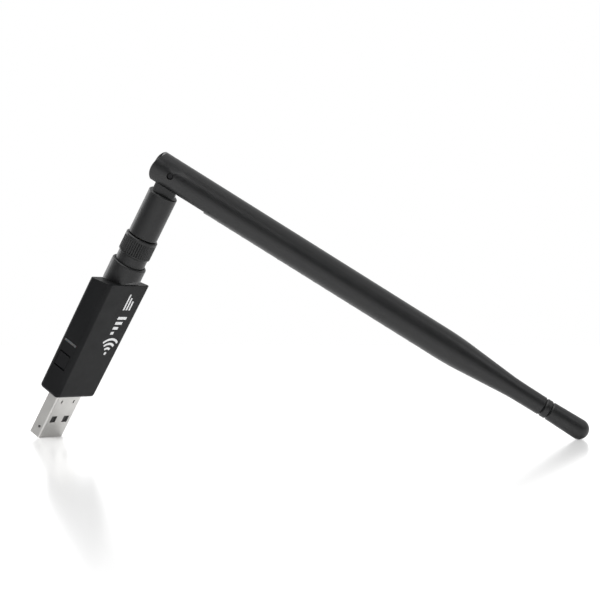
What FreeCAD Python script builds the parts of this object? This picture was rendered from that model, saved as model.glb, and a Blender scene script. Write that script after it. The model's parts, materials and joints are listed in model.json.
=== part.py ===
import FreeCAD, Part
import math
import os

V = FreeCAD.Vector

# A USB wireless adapter with a screw-on folding antenna, in millimetres.
# The stick frame has its origin at the middle of the plug's open end, x across
# the wide face, y through the thickness towards the back cover, and z along
# the stick towards the antenna. The whole stick is then turned into its
# standing attitude: leaning on the plug's front edge and the antenna's tip.

# ---- attitude -----------------------------------------------------------
turn_deg = 56.8          # the wide face turned about the vertical
lean_deg = 31.9          # the stick leaned over its plug edge
swivel_deg = -57.9       # direction the antenna folds to, about the stick's axis

# ---- fits ---------------------------------------------------------------
slide_gap = 0.05         # radial running fit of turning and screwing parts
plug_in_gap = 0.10       # radial gap of the parts that plug into each other
trim_gap = 0.10          # gap round a part that sits in an opening
face_gap = 0.08          # gap between faces that turn past each other

# ---- USB plug -----------------------------------------------------------
plug_width = 12.0
plug_height = 4.5
plug_reach = 16.3        # length standing out of the case
plug_root = 3.6          # length held inside the case
plug_wall = 0.3
plug_corner = 0.6
latch_width = 2.6
latch_length = 2.4
latch_spacing = 6.0
latch_from_end = 7.0
vent_width = 0.6
vent_length = 1.1
vent_from_case = 2.6
dimple_radius = 0.5
dimple_shift = 0.5       # off the side's middle, towards the front
dimple_from_end = 3.4
tongue_setback = 0.6
plug_tongue = 1.9        # thickness of the plug's tongue
insulator_back = 7.6     # length of the full-height block of the insulator
contact_width = 1.0
contact_thickness = 0.2
contact_pitch = 2.5
contact_inner_gap = 2.0
contact_setback = 1.6
contact_stagger = 1.0
contact_bend = 1.0
contact_tail = 3.4

# ---- case ---------------------------------------------------------------
case_length = 42.8       # front face, from the plug end to the antenna end
case_width_plug = 19.7
case_width_antenna = 21.1
case_thickness = 8.5
case_wall = 1.15
case_corner = 1.5
case_end_round = 1.2
case_top_round = 0.2
case_top_slope_deg = 12.8
case_top_wall = 1.6      # thickness of the antenna end wall at the back
cover_depth = 1.4        # how far the back cover reaches round the sides
lip_height = 0.9
lip_width = 0.6

# ---- circuit board ------------------------------------------------------
board_width = 15.6
board_thickness = 1.0
board_end_gap = 0.1

# ---- pairing button and light window ------------------------------------
button_from_case = 12.1  # middle of the button from the case's plug end
button_length = 4.6
button_margin = 1.95     # between the button and the case's wide faces
button_end_gap = 0.45
button_flange = 0.5
button_flange_reach = 0.5
button_travel = 0.3
window_from_case = 18.7
window_margin = 1.65     # between the light window and the case's wide faces
window_height = 0.7

# ---- antenna jack on the case -------------------------------------------
thread_radius = 3.175    # quarter inch, 36 threads to the inch
jack_bore_radius = 2.05
jack_reach = 7.2         # length standing out of the collar
jack_hollow = 4.4
jack_pin_radius = 0.46
jack_pin_recess = 0.8
jack_pin_tail = 3.0
jack_flange_width = 7.4
jack_flange_gap = 0.2    # between the jack's flange and the case's inner faces
jack_flange_length = 2.0
jack_leg_width = 1.0
jack_leg_length = 4.0
jack_leg_gap = 0.64      # between the back legs and the case's inner face
jack_leg_spacing = 5.2
panel_nut_flats = 8.0
panel_nut_length = 1.8
washer_radius = 4.6
washer_length = 0.4

# ---- collar -------------------------------------------------------------
collar_radius = 5.8
collar_rise = 6.1        # collar's top above the case's front edge
collar_bore_radius = 5.1
collar_recess = 4.0
collar_round = 0.55
collar_chamfer_start = 4.0
collar_chamfer_deg = 50.0

# ---- coupling nut -------------------------------------------------------
nut_in_collar = 0.8      # length of the neck inside the collar
nut_neck_length = 3.1    # length of the neck outside the collar
nut_ring_length = 6.5
nut_radius = 5.35
nut_neck_radius = 4.9
nut_chamfer = 0.3
nut_flutes = 40
nut_flute_depth = 0.24
nut_rim_top = 1.0
nut_rim_bottom = 0.7

# ---- antenna connector core ---------------------------------------------
core_flange_radius = 3.05
core_flange_length = 0.85
core_stem_radius = 2.6
core_stem_reach = 9.2    # length of the stem beyond the nut
core_bore_radius = 1.5
core_nose_radius = jack_bore_radius - plug_in_gap
core_nose_length = 4.0
socket_radius = 0.8
socket_depth = 4.2
coax_in_stem = 4.0       # length of the coax held inside the stem
clip_height = 0.6
clip_from_top = 1.9
clip_depth = 0.3
clip_reach = 0.5
clip_mouth = 1.6

# ---- swivel base --------------------------------------------------------
base_radius = 4.8
base_length = 15.6
base_edge = 0.3
tongue_socket_radius = 3.4
tongue_socket_depth = 4.3
coax_radius = 0.9
coax_gap = 0.1

# ---- hinge --------------------------------------------------------------
pin_rise = 7.2           # hinge pin above the base's end
pin_offset = 0.4         # hinge pin off the stick's axis, away from the fold
pin_radius = 1.0
pin_length = 9.3
tongue_half_width = 3.75
tongue_thickness = 6.0
tongue_top_radius = 3.35
slot_side_gap = 0.1
slot_back_gap = 0.3
slot_end = 14.9          # from the pin
coax_in_tongue = 3.2     # clear distance from the coax's end to the pin's axis

# ---- blade --------------------------------------------------------------
blade_radius = 5.12
blade_far_radius = 5.05
blade_end_gap = 0.5      # from the rounded end to the base when straight
blade_relief = 4.9       # pin to the relieved underside of the cheeks
blade_relief_slope = 0.12
taper_start = 105.3      # from the pin
taper_length = 22.7
neck_radius = 3.2
neck_end_radius = 3.08
neck_length = 11.5       # from the taper's end to the first groove
groove_spacing = 2.4
groove_depth = 0.38
groove_half_width = 0.42
tip_straight = 11.3      # from the second groove to the middle of the domed tip
tip_radius = 3.32
blade_wall = 1.1
slot_floor = 1.3         # thickness between the slot and the blade's bore
cap_spigot = 4.0
taper_blend = 9.0
neck_blend = 5.0

# ---- radiator inside the blade ------------------------------------------
sleeve_from_hall = 7.8
sleeve_length = 27.0
sleeve_radius = 2.5
sleeve_wall = 0.25
wire_radius = 0.55
coil_from_sleeve = 27.0
coil_turns = 4
coil_pitch = 1.9
coil_radius = 1.5
wire_to_taper_end = 6.0
foam_length = 5.0
foam_gap = 0.1

# ---- worked out from the sizes above ------------------------------------
case_bottom = plug_reach
case_top_front = case_bottom + case_length
half_t = case_thickness / 2.0
slope = math.tan(math.radians(case_top_slope_deg))
collar_top = case_top_front + collar_rise
collar_floor = collar_top - collar_recess
jack_top = collar_top + jack_reach
nut_bottom = collar_top - nut_in_collar
nut_ring_bottom = collar_top + nut_neck_length
nut_top = nut_ring_bottom + nut_ring_length
core_stem_top = nut_top + core_stem_reach
coax_start = core_stem_top - coax_in_stem
case_top_back = case_top_front - case_thickness * slope
cavity_bottom = case_bottom + case_wall
cavity_top = case_top_back - case_top_wall
cavity_half_t = half_t - case_wall
cover_seam = half_t - cover_depth
button_width = case_thickness - 2.0 * button_margin
window_length = case_thickness - 2.0 * window_margin
jack_flange_height = 2.0 * (cavity_half_t - jack_flange_gap)
board_front = jack_pin_radius
tongue_face = plug_tongue + plug_wall - plug_height / 2.0
board_back = board_front + board_thickness
board_bottom = case_bottom + plug_root + board_end_gap
flange_bottom = cavity_top - jack_flange_length
board_top = flange_bottom - board_end_gap
shell_top = case_bottom + plug_root
button_mid = case_bottom + button_from_case
window_mid = case_bottom + window_from_case
nut_bore_radius = thread_radius + slide_gap
core_flange_bottom = jack_top + slide_gap
core_flange_top = core_flange_bottom + core_flange_length
nut_inner_top = core_flange_top + face_gap
base_bottom = nut_top + 2.0 * face_gap
base_top = base_bottom + base_length
pin_height = base_top + pin_rise
blade_end_radius = pin_rise - blade_end_gap
stem_hole_radius = core_stem_radius + slide_gap
coax_hole_radius = coax_radius + coax_gap
slot_half = tongue_thickness / 2.0 + slot_side_gap
cable_hall_start = slot_end + slot_floor
sleeve_start = cable_hall_start + sleeve_from_hall
sleeve_end = sleeve_start + sleeve_length
coil_start = sleeve_end + coil_from_sleeve
coil_end = coil_start + coil_turns * coil_pitch
foam_places = ((sleeve_end + coil_start - foam_length) / 2.0, coil_end + foam_length / 2.0)
taper_end = taper_start + taper_length
groove_first = taper_end + neck_length
groove_second = groove_first + groove_spacing
tip_centre = groove_second + tip_straight
tip_end = tip_centre + tip_radius
cap_start = groove_second + groove_half_width


def half_width(z):
    """Half the case's width at height z: a straight taper."""
    share = (z - case_bottom) / case_length
    return (case_width_plug + (case_width_antenna - case_width_plug) * share) / 2.0


def top_height(y):
    """Height of the case's sloped antenna end at thickness place y."""
    return case_top_front - (y + half_t) * slope


def box(x0, x1, y0, y1, z0, z1):
    return Part.makeBox(x1 - x0, y1 - y0, z1 - z0, V(x0, y0, z0))


def rod(radius, z0, z1):
    return Part.makeCylinder(radius, z1 - z0, V(0, 0, z0))


def tube(outer, inner, z0, z1):
    return rod(outer, z0, z1).cut(rod(inner, z0 - 1.0, z1 + 1.0))


def extrude_xz(points, y0, y1):
    """A closed outline of (x, z) corners carried from y0 to y1."""
    corners = [V(x, y0, z) for x, z in points]
    wire = Part.makePolygon(corners + [corners[0]])
    return Part.Face(wire).extrude(V(0, y1 - y0, 0))


def extrude_yz(points, x0, x1):
    """A closed outline of (y, z) corners carried from x0 to x1."""
    corners = [V(x0, y, z) for y, z in points]
    wire = Part.makePolygon(corners + [corners[0]])
    return Part.Face(wire).extrude(V(x1 - x0, 0, 0))


def revolve_rz(edges):
    """A closed profile of edges in the x-z plane turned about z."""
    wire = Part.Wire(edges)
    solid = Part.Face(wire).revolve(V(0, 0, 0), V(0, 0, 1), 360)
    return solid


def line(a, b):
    return Part.LineSegment(V(a[0], 0, a[1]), V(b[0], 0, b[1])).toShape()


def arc(a, mid, b):
    return Part.Arc(V(a[0], 0, a[1]), V(mid[0], 0, mid[1]), V(b[0], 0, b[1])).toShape()


def profile(points):
    """Straight edges through (r, z) points, closed; a doubled point is passed over."""
    closed = points + [points[0]]
    pairs = zip(closed[:-1], closed[1:])
    return [line(a, b) for a, b in pairs if math.dist(a, b) > 1e-6]


def rounded_box(x0, x1, y0, y1, z0, z1, radius):
    """A box with its four edges along z rounded."""
    solid = box(x0, x1, y0, y1, z0, z1)
    edges = [e for e in solid.Edges if abs(e.tangentAt(e.FirstParameter).z) > 0.99]
    return solid.makeFillet(radius, edges)


# ---- case ---------------------------------------------------------------
def case_block(inset, y0, y1, z0, z1):
    """A block that follows the case's tapered sides, inset from them."""
    low = half_width(z0) - inset
    high = half_width(z1) - inset
    outline = [(-low, z0), (low, z0), (high, z1), (-high, z1)]
    return extrude_xz(outline, y0, y1)


def above_top():
    """Everything above the case's sloped antenna end."""
    reach = case_width_antenna
    y0, y1 = -2.0 * half_t - collar_radius, 2.0 * half_t + collar_radius
    top = case_top_front + 3.0 * case_thickness
    outline = [(y0, top_height(y0)), (y1, top_height(y1)), (y1, top), (y0, top)]
    return extrude_yz(outline, -reach, reach)


def case_outside():
    solid = case_block(0.0, -half_t, half_t, case_bottom, case_top_front)
    sides = [e for e in solid.Edges if abs(e.tangentAt(e.FirstParameter).z) > 0.9]
    solid = solid.makeFillet(case_corner, sides)
    low = [e for e in solid.Edges if e.BoundBox.ZMax < case_bottom + 0.01]
    solid = solid.makeFillet(case_end_round, low)
    solid = solid.cut(above_top())
    rim = []
    for edge in solid.Edges:
        middle = edge.CenterOfMass
        on_top = abs(middle.z - top_height(middle.y)) < 0.02 and edge.BoundBox.ZMin > cavity_top
        if on_top:
            rim.append(edge)
    return solid.makeFillet(case_top_round, rim)


def case_inside():
    return case_block(case_wall, -cavity_half_t, cavity_half_t, cavity_bottom, cavity_top)


def case_openings():
    """The openings for the plug, the jack, the button and the light window."""
    gap = trim_gap
    plug = rounded_box(-plug_width / 2.0 - gap, plug_width / 2.0 + gap,
                       -plug_height / 2.0 - gap, plug_height / 2.0 + gap,
                       case_bottom - 1.0, cavity_bottom + 1.0, plug_corner + gap)
    jack = rod(thread_radius + gap, cavity_top - 1.0, case_top_front + 1.0)
    left = -half_width(case_top_front) - 1.0
    inner = -half_width(case_bottom) + case_wall + 1.0
    reach = button_length / 2.0 + button_end_gap
    side = button_width / 2.0 + gap
    button = box(left, inner, -side, side, button_mid - reach, button_mid + reach)
    window = box(left, inner, -window_length / 2.0 - gap, window_length / 2.0 + gap,
                 window_mid - window_height / 2.0 - gap, window_mid + window_height / 2.0 + gap)
    return plug.fuse(jack).fuse(button).fuse(window)


def case_halves():
    """The deep front shell, and the back cover with its locating lip."""
    reach = case_width_antenna
    high = case_top_front + 10.0
    hollow = case_outside().cut(case_inside()).cut(case_openings())
    behind = box(-reach, reach, cover_seam, case_thickness, case_bottom - 1.0, high)
    front = hollow.cut(behind)
    cover = hollow.common(behind)
    gap = trim_gap
    step = case_wall + gap
    low = cover_seam - lip_height
    lip = case_block(step, low, cavity_half_t, case_bottom + step, cavity_top - gap)
    lip = lip.cut(case_block(step + lip_width, low - 1.0, cavity_half_t + 1.0,
                             case_bottom + step + lip_width, cavity_top - gap - lip_width))
    flange = box(-jack_flange_width / 2.0 - gap, jack_flange_width / 2.0 + gap,
                 -half_t, half_t, flange_bottom - gap, cavity_top)
    root = box(-plug_width / 2.0 - gap, plug_width / 2.0 + gap, -half_t, plug_height / 2.0 + gap,
               case_bottom, shell_top + gap)
    side = button_length / 2.0 + button_end_gap + button_flange_reach + gap
    button = box(-half_width(case_top_front), -board_width / 2.0 + gap, -half_t, half_t,
                 button_mid - side, button_mid + side)
    window = box(-half_width(case_top_front), -board_width / 2.0 + gap, -half_t, half_t,
                 window_mid - window_height, window_mid + window_height)
    lip = lip.cut(flange).cut(root).cut(button).cut(window)
    return front, cover.fuse(lip).removeSplitter()


# ---- USB plug -----------------------------------------------------------
def usb_shell():
    """The folded steel shell with latch windows, vents and side dimples."""
    w, h = plug_width / 2.0, plug_height / 2.0
    outer = rounded_box(-w, w, -h, h, 0.0, shell_top, plug_corner)
    inner = rounded_box(-w + plug_wall, w - plug_wall, -h + plug_wall, h - plug_wall,
                        -1.0, shell_top + 1.0, plug_corner - plug_wall)
    shell = outer.cut(inner)
    for side in (-1.0, 1.0):
        x = side * latch_spacing / 2.0
        window = box(x - latch_width / 2.0, x + latch_width / 2.0, -h - 1.0, h + 1.0,
                     latch_from_end - latch_length / 2.0, latch_from_end + latch_length / 2.0)
        vent_mid = case_bottom - vent_from_case
        vent = box(x - vent_width / 2.0, x + vent_width / 2.0, -h - 1.0, 0.0,
                   vent_mid - vent_length / 2.0, vent_mid + vent_length / 2.0)
        dimple = Part.makeCylinder(dimple_radius, 2.0, V(side * (w - 1.0), -dimple_shift, dimple_from_end),
                                   V(side, 0, 0))
        shell = shell.cut(window).cut(vent).cut(dimple)
    return shell


def usb_insulator():
    """The moulded tongue and its full-height block at the back."""
    w = plug_width / 2.0 - plug_wall
    h = plug_height / 2.0 - plug_wall
    tongue = box(-w + plug_corner, w - plug_corner, -h, tongue_face, tongue_setback, shell_top)
    block = box(-w + plug_corner, w - plug_corner, -h, h, shell_top - insulator_back, shell_top)
    solid = tongue.fuse(block).removeSplitter()
    for x in contact_places():
        slot = box(x - contact_width / 2.0, x + contact_width / 2.0,
                   tongue_face - contact_thickness, tongue_face,
                   contact_start(x), shell_top + 1.0)
        solid = solid.cut(slot)
    return solid


def contact_places():
    inner = contact_inner_gap / 2.0
    outer = inner + contact_pitch
    return (-outer, -inner, inner, outer)


def contact_start(x):
    """The inner pair of contacts starts further from the plug's end."""
    inner_pair = abs(x) < contact_inner_gap
    return contact_setback + (contact_stagger if inner_pair else 0.0)


def usb_contacts():
    """Four strips flush in the tongue, bent behind the block to lie on the board."""
    strips = []
    low, high = tongue_face - contact_thickness, board_front - contact_thickness
    bend, flat, end = shell_top, shell_top + contact_bend, shell_top + contact_tail
    for x in contact_places():
        start = contact_start(x)
        outline = [(low, start), (tongue_face, start), (tongue_face, bend), (board_front, flat),
                   (board_front, end), (high, end), (high, flat), (low, bend)]
        strips.append(extrude_yz(outline, x - contact_width / 2.0, x + contact_width / 2.0))
    return Part.makeCompound(strips)


# ---- board and what is soldered to it -----------------------------------
def circuit_board():
    half = board_width / 2.0
    return box(-half, half, board_front, board_back, board_bottom, board_top)


def on_board(x, z, width, length, height):
    """A block on the board's front face, centred at (x, z)."""
    return box(x - width / 2.0, x + width / 2.0, board_front - height, board_front,
               z - length / 2.0, z + length / 2.0)


def under_board(x, z, width, length, height):
    """A block on the board's back face, centred at (x, z)."""
    return box(x - width / 2.0, x + width / 2.0, board_back, board_back + height,
               z - length / 2.0, z + length / 2.0)


can_width = 10.4
can_length = 11.0
can_height = 2.1
can_wall = 0.2
can_mid_x = 1.6
can_mid_z = board_top - 10.6


def rf_shield():
    """A drawn can, open towards the board, with two rows of vent holes."""
    can = on_board(can_mid_x, can_mid_z, can_width, can_length, can_height)
    upright = [e for e in can.Edges if abs(e.tangentAt(e.FirstParameter).y) > 0.99]
    can = can.makeFillet(0.5, upright)
    hollow = on_board(can_mid_x, can_mid_z, can_width - 2.0 * can_wall,
                      can_length - 2.0 * can_wall, can_height - can_wall)
    can = can.cut(hollow)
    for column in range(4):
        for row in range(2):
            x = can_mid_x - 3.3 + 2.2 * column
            z = can_mid_z - 2.0 + 4.0 * row
            hole = Part.makeCylinder(0.35, 2.0, V(x, board_front - can_height - 1.0, z), V(0, 1, 0))
            can = can.cut(hole)
    return can


def wifi_chip():
    return on_board(can_mid_x, can_mid_z + 1.4, 6.0, 6.0, 0.9)


def crystal():
    return on_board(can_mid_x - 2.2, can_mid_z - 3.6, 3.2, 2.5, 0.8)


def flash_chip():
    return on_board(3.6, board_bottom + 9.6, 5.0, 4.0, 1.5)


def voltage_regulator():
    """A small moulded regulator with its three leads and tab."""
    x, z = 4.2, board_bottom + 5.6
    body = on_board(x, z, 3.0, 1.7, 1.1)
    leads = [on_board(x + dx, z - 1.1, 0.5, 0.8, 0.25) for dx in (-1.0, 0.0, 1.0)]
    leads.append(on_board(x, z + 1.1, 0.5, 0.8, 0.25))
    for lead in leads:
        body = body.fuse(lead)
    return body.removeSplitter()


def power_inductor():
    """A drum inductor: a square ferrite with a round wound window."""
    x, z = -1.2, board_bottom + 9.4
    body = on_board(x, z, 3.0, 3.0, 1.4)
    ring = Part.makeCylinder(1.25, 0.3, V(x, board_front - 1.4, z), V(0, 1, 0))
    core = Part.makeCylinder(0.6, 0.3, V(x, board_front - 1.4, z), V(0, 1, 0))
    return body.cut(ring.cut(core))


def chip_capacitors():
    """Two columns of small capacitors on the board's back face."""
    parts = []
    for column in range(2):
        for row in range(5):
            x = -3.0 + 6.0 * column
            z = board_bottom + 6.0 + 5.2 * row
            parts.append(under_board(x, z, 0.9, 1.6, 0.8))
    return Part.makeCompound(parts)


def status_led():
    inner = -board_width / 2.0 + 0.1
    return box(inner, inner + 0.8, board_front - 0.7, board_front,
               window_mid - 0.8, window_mid + 0.8)


def light_pipe():
    """The clear bar in the narrow side, with a shelf against the wall's inner face."""
    half = window_length / 2.0
    z0, z1 = window_mid - window_height / 2.0, window_mid + window_height / 2.0
    low, high = window_mid - window_height, window_mid + window_height
    inner = -board_width / 2.0 - trim_gap
    bar = extrude_xz([(-half_width(z0), z0), (inner, z0), (inner, z1), (-half_width(z1), z1)],
                     -half, half)
    wall_low, wall_high = case_wall - half_width(low), case_wall - half_width(high)
    shelf = extrude_xz([(wall_low, low), (inner, low), (inner, high), (wall_high, high)],
                       -half, half)
    return bar.fuse(shelf).removeSplitter()


# ---- pairing button -----------------------------------------------------
flange_outer = -half_width(button_mid - button_length) + case_wall + slide_gap
flange_inner = flange_outer + button_flange
switch_face = flange_inner + button_travel + 2.0 * slide_gap


def pairing_button():
    """The key in the narrow side: its head, and the flange that keeps it in."""
    half_l = button_length / 2.0
    half_w = button_width / 2.0
    z0, z1 = button_mid - half_l, button_mid + half_l
    outline = [(-half_width(z0), z0), (flange_outer, z0), (flange_outer, z1), (-half_width(z1), z1)]
    head = extrude_xz(outline, -half_w, half_w)
    rim = [e for e in head.Edges if e.BoundBox.XMax < -half_width(z0) + 0.01]
    head = head.makeFillet(0.2, rim)
    reach = half_l + button_end_gap + button_flange_reach - trim_gap
    flange = box(flange_outer, flange_inner, -half_w + trim_gap, half_w - trim_gap,
                 button_mid - reach, button_mid + reach)
    return head.fuse(flange).removeSplitter()


def switch_plunger():
    """The switch's own small plunger, which the button rests against."""
    mid_y = board_front - 1.0
    return box(flange_inner, switch_face + 0.6, mid_y - 0.5, mid_y + 0.5,
               button_mid - 0.9, button_mid + 0.9)


def switch_body():
    """The side-push switch, with a pocket for its plunger and two solder tabs."""
    body = box(switch_face, switch_face + 2.8, board_front - 2.0, board_front,
               button_mid - 2.2, button_mid + 2.2)
    mid_y = board_front - 1.0
    gap = slide_gap
    pocket = box(switch_face - 1.0, switch_face + 0.6 + button_travel + gap, mid_y - 0.5 - gap,
                 mid_y + 0.5 + gap, button_mid - 0.9 - gap, button_mid + 0.9 + gap)
    tab_low = box(switch_face + 0.8, switch_face + 2.0, board_front - 0.3, board_front,
                  button_mid - 2.9, button_mid - 2.2)
    tab_high = box(switch_face + 0.8, switch_face + 2.0, board_front - 0.3, board_front,
                   button_mid + 2.2, button_mid + 2.9)
    return body.cut(pocket).fuse(tab_low).fuse(tab_high).removeSplitter()


# ---- antenna jack and collar --------------------------------------------
def jack_body():
    """The threaded barrel, the square flange and the legs round the board."""
    barrel = rod(thread_radius, cavity_top, jack_top)
    chamfer = [e for e in barrel.Edges if e.BoundBox.ZMin > jack_top - 0.01]
    barrel = barrel.makeChamfer(0.3, chamfer)
    flange = box(-jack_flange_width / 2.0, jack_flange_width / 2.0, -jack_flange_height / 2.0,
                 jack_flange_height / 2.0, flange_bottom, cavity_top)
    solid = barrel.fuse(flange)
    half = jack_leg_width / 2.0
    for side in (-1.0, 1.0):
        x = side * jack_leg_spacing / 2.0
        front_leg = box(x - half, x + half, board_front - jack_leg_width, board_front,
                        flange_bottom - jack_leg_length, flange_bottom)
        back_leg = box(x - half, x + half, board_back, cavity_half_t - jack_leg_gap,
                       flange_bottom - jack_leg_length, flange_bottom)
        solid = solid.fuse(front_leg).fuse(back_leg)
    bore = rod(jack_bore_radius, flange_bottom - 1.0, jack_top + 1.0)
    return solid.cut(bore).removeSplitter()


def jack_insulator():
    return tube(jack_bore_radius, jack_pin_radius, flange_bottom, jack_top - jack_hollow)


def jack_pin():
    """The centre pin, with its tail lying on the board."""
    pin = rod(jack_pin_radius, flange_bottom - jack_pin_tail, jack_top - jack_pin_recess)
    tip = [e for e in pin.Edges if e.BoundBox.ZMin > jack_top - jack_pin_recess - 0.01]
    return pin.makeFillet(0.3, tip)


def jack_washer():
    return tube(washer_radius, thread_radius + slide_gap, collar_floor,
                collar_floor + washer_length)


def jack_nut():
    """The thin hexagon nut that clamps the collar and jack to the case."""
    z0 = collar_floor + washer_length
    across = panel_nut_flats / math.cos(math.radians(30.0)) / 2.0
    corners = []
    for index in range(7):
        angle = math.radians(60.0 * index)
        corners.append(V(across * math.cos(angle), across * math.sin(angle), z0))
    block = Part.Face(Part.makePolygon(corners)).extrude(V(0, 0, panel_nut_length))
    return block.cut(rod(thread_radius + slide_gap, z0 - 1.0, z0 + panel_nut_length + 1.0))


def antenna_collar():
    """The round collar on the sloped case end, undercut at front and back."""
    low = top_height(collar_radius) - 1.0
    solid = rod(collar_radius, low, collar_top)
    rim = [e for e in solid.Edges if e.BoundBox.ZMin > collar_top - 0.01]
    solid = solid.makeFillet(collar_round, rim)
    solid = solid.cut(rod(collar_bore_radius, collar_floor, collar_top + 1.0))
    solid = solid.cut(rod(thread_radius + slide_gap, low - 1.0, collar_top + 1.0))
    solid = solid.common(above_top())
    rise = math.tan(math.radians(collar_chamfer_deg))
    far = collar_radius + 2.0
    for side in (-1.0, 1.0):
        y0 = side * collar_chamfer_start
        y1 = side * far
        z0 = top_height(y0)
        z1 = z0 + (far - collar_chamfer_start) * rise
        wedge = extrude_yz([(y0, z0), (y1, z1), (y1, z0 - 9.0), (y0, z0 - 9.0)], -far, far)
        solid = solid.cut(wedge)
    return solid


# ---- coupling nut and connector core ------------------------------------
def coupling_nut():
    """The knurled nut: rims, flutes, a neck below, a threaded bore."""
    outline = [
        (0.0, nut_bottom), (nut_neck_radius, nut_bottom),
        (nut_neck_radius, nut_ring_bottom), (nut_radius - nut_chamfer, nut_ring_bottom),
        (nut_radius, nut_ring_bottom + nut_chamfer), (nut_radius, nut_top - nut_chamfer),
        (nut_radius - nut_chamfer, nut_top), (0.0, nut_top),
    ]
    solid = revolve_rz(profile(outline))
    flute_bottom = nut_ring_bottom + nut_rim_bottom
    flute_top = nut_top - nut_rim_top
    step = 2.0 * math.pi / nut_flutes
    half_mouth = nut_radius * math.sin(step / 2.0) * 0.8
    valley = nut_radius - nut_flute_depth
    far = nut_radius + 0.5
    cutters = []
    for index in range(nut_flutes):
        turn = math.degrees(step * index)
        corners = [V(valley, 0, flute_bottom), V(nut_radius, half_mouth, flute_bottom),
                   V(far, half_mouth, flute_bottom), V(far, -half_mouth, flute_bottom),
                   V(nut_radius, -half_mouth, flute_bottom), V(valley, 0, flute_bottom)]
        cutter = Part.Face(Part.makePolygon(corners)).extrude(V(0, 0, flute_top - flute_bottom))
        cutter.rotate(V(0, 0, 0), V(0, 0, 1), turn)
        cutters.append(cutter)
    solid = solid.cut(Part.makeCompound(cutters))
    solid = solid.cut(rod(nut_bore_radius, nut_bottom - 1.0, nut_inner_top))
    return solid.cut(rod(core_stem_radius + face_gap, nut_inner_top - 1.0, nut_top + 1.0))


def plug_core():
    """The connector's metal core: nose, flange and the stem the base turns on."""
    nose_bottom = core_flange_bottom - core_nose_length
    nose = rod(core_nose_radius, nose_bottom, core_flange_bottom)
    flange = rod(core_flange_radius, core_flange_bottom, core_flange_top)
    stem = rod(core_stem_radius, core_flange_top, core_stem_top)
    solid = nose.fuse(flange).fuse(stem).removeSplitter()
    solid = solid.cut(rod(core_bore_radius, nose_bottom - 1.0, core_stem_top + 1.0))
    groove_low = core_stem_top - clip_from_top
    groove = tube(core_stem_radius + 1.0, core_stem_radius - clip_depth, groove_low,
                  groove_low + clip_height)
    return solid.cut(groove)


def plug_insulator():
    low = core_flange_bottom - core_nose_length + 0.4
    return tube(core_bore_radius, socket_radius, low, coax_start)


def plug_socket():
    """The centre contact: a socket below, solid where the coax is soldered."""
    low = core_flange_bottom - core_nose_length + 0.4
    solid = rod(socket_radius, low, coax_start)
    bore = rod(jack_pin_radius + slide_gap, low - 1.0, low + socket_depth)
    return solid.cut(bore)


def snap_ring():
    """The open ring in the stem's groove that keeps the base on."""
    low = core_stem_top - clip_from_top
    ring = tube(core_stem_radius + clip_reach, core_stem_radius - clip_depth, low,
                low + clip_height)
    mouth = box(0.0, core_stem_radius + 2.0, -clip_mouth / 2.0, clip_mouth / 2.0, low - 1.0,
                low + 2.0)
    return ring.cut(mouth)


# ---- swivel base and hinge ----------------------------------------------
def swivel_base():
    """The round base: stem bore, ring chamber, coax hole, tongue socket."""
    outline = [
        (0.0, base_bottom), (base_radius - base_edge, base_bottom),
        (base_radius, base_bottom + base_edge), (base_radius, base_top - base_edge),
        (base_radius - base_edge, base_top), (0.0, base_top),
    ]
    solid = revolve_rz(profile(outline))
    solid = solid.cut(rod(stem_hole_radius, base_bottom - 1.0, core_stem_top + face_gap))
    ring_low = core_stem_top - clip_from_top
    ring_radius = core_stem_radius + clip_reach + face_gap
    solid = solid.cut(rod(ring_radius, ring_low - face_gap, ring_low + clip_height + face_gap))
    solid = solid.cut(rod(coax_hole_radius, core_stem_top, base_top + 1.0))
    return solid.cut(rod(tongue_socket_radius, base_top - tongue_socket_depth, base_top + 1.0))


def hinge_tongue():
    """The flat tongue with its round root; x is the fold direction."""
    half = tongue_half_width
    pin = -pin_offset
    radius = tongue_top_radius
    half_t_tongue = tongue_thickness / 2.0
    corners = [V(-half, -half_t_tongue, base_top), V(-half, -half_t_tongue, pin_height),
               V(pin, -half_t_tongue, pin_height + radius),
               V(pin + radius, -half_t_tongue, pin_height), V(half, -half_t_tongue, base_top)]
    left = Part.LineSegment(corners[0], corners[1]).toShape()
    over = Part.Arc(corners[1], corners[2], corners[3]).toShape()
    right = Part.LineSegment(corners[3], corners[4]).toShape()
    foot = Part.LineSegment(corners[4], corners[0]).toShape()
    plate = Part.Face(Part.Wire([left, over, right, foot])).extrude(V(0, tongue_thickness, 0))
    plate = plate.common(rod(base_radius - base_edge, base_top, pin_height + 2.0 * radius))
    root = rod(tongue_socket_radius, base_top - tongue_socket_depth, base_top)
    solid = plate.fuse(root).removeSplitter()
    bore = Part.makeCylinder(pin_radius, tongue_thickness + 4.0,
                             V(pin, -half_t_tongue - 2.0, pin_height), V(0, 1, 0))
    channel = rod(coax_hole_radius, base_top - tongue_socket_depth - 1.0,
                  pin_height - coax_in_tongue + coax_gap)
    return solid.cut(bore).cut(channel)


def hinge_pin():
    pin = Part.makeCylinder(pin_radius, pin_length, V(-pin_offset, -pin_length / 2.0, pin_height),
                            V(0, 1, 0))
    ends = [e for e in pin.Edges if e.Closed]
    return pin.makeFillet(0.25, ends)


def coax_lower():
    return rod(coax_radius, coax_start, pin_height - coax_in_tongue)


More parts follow.
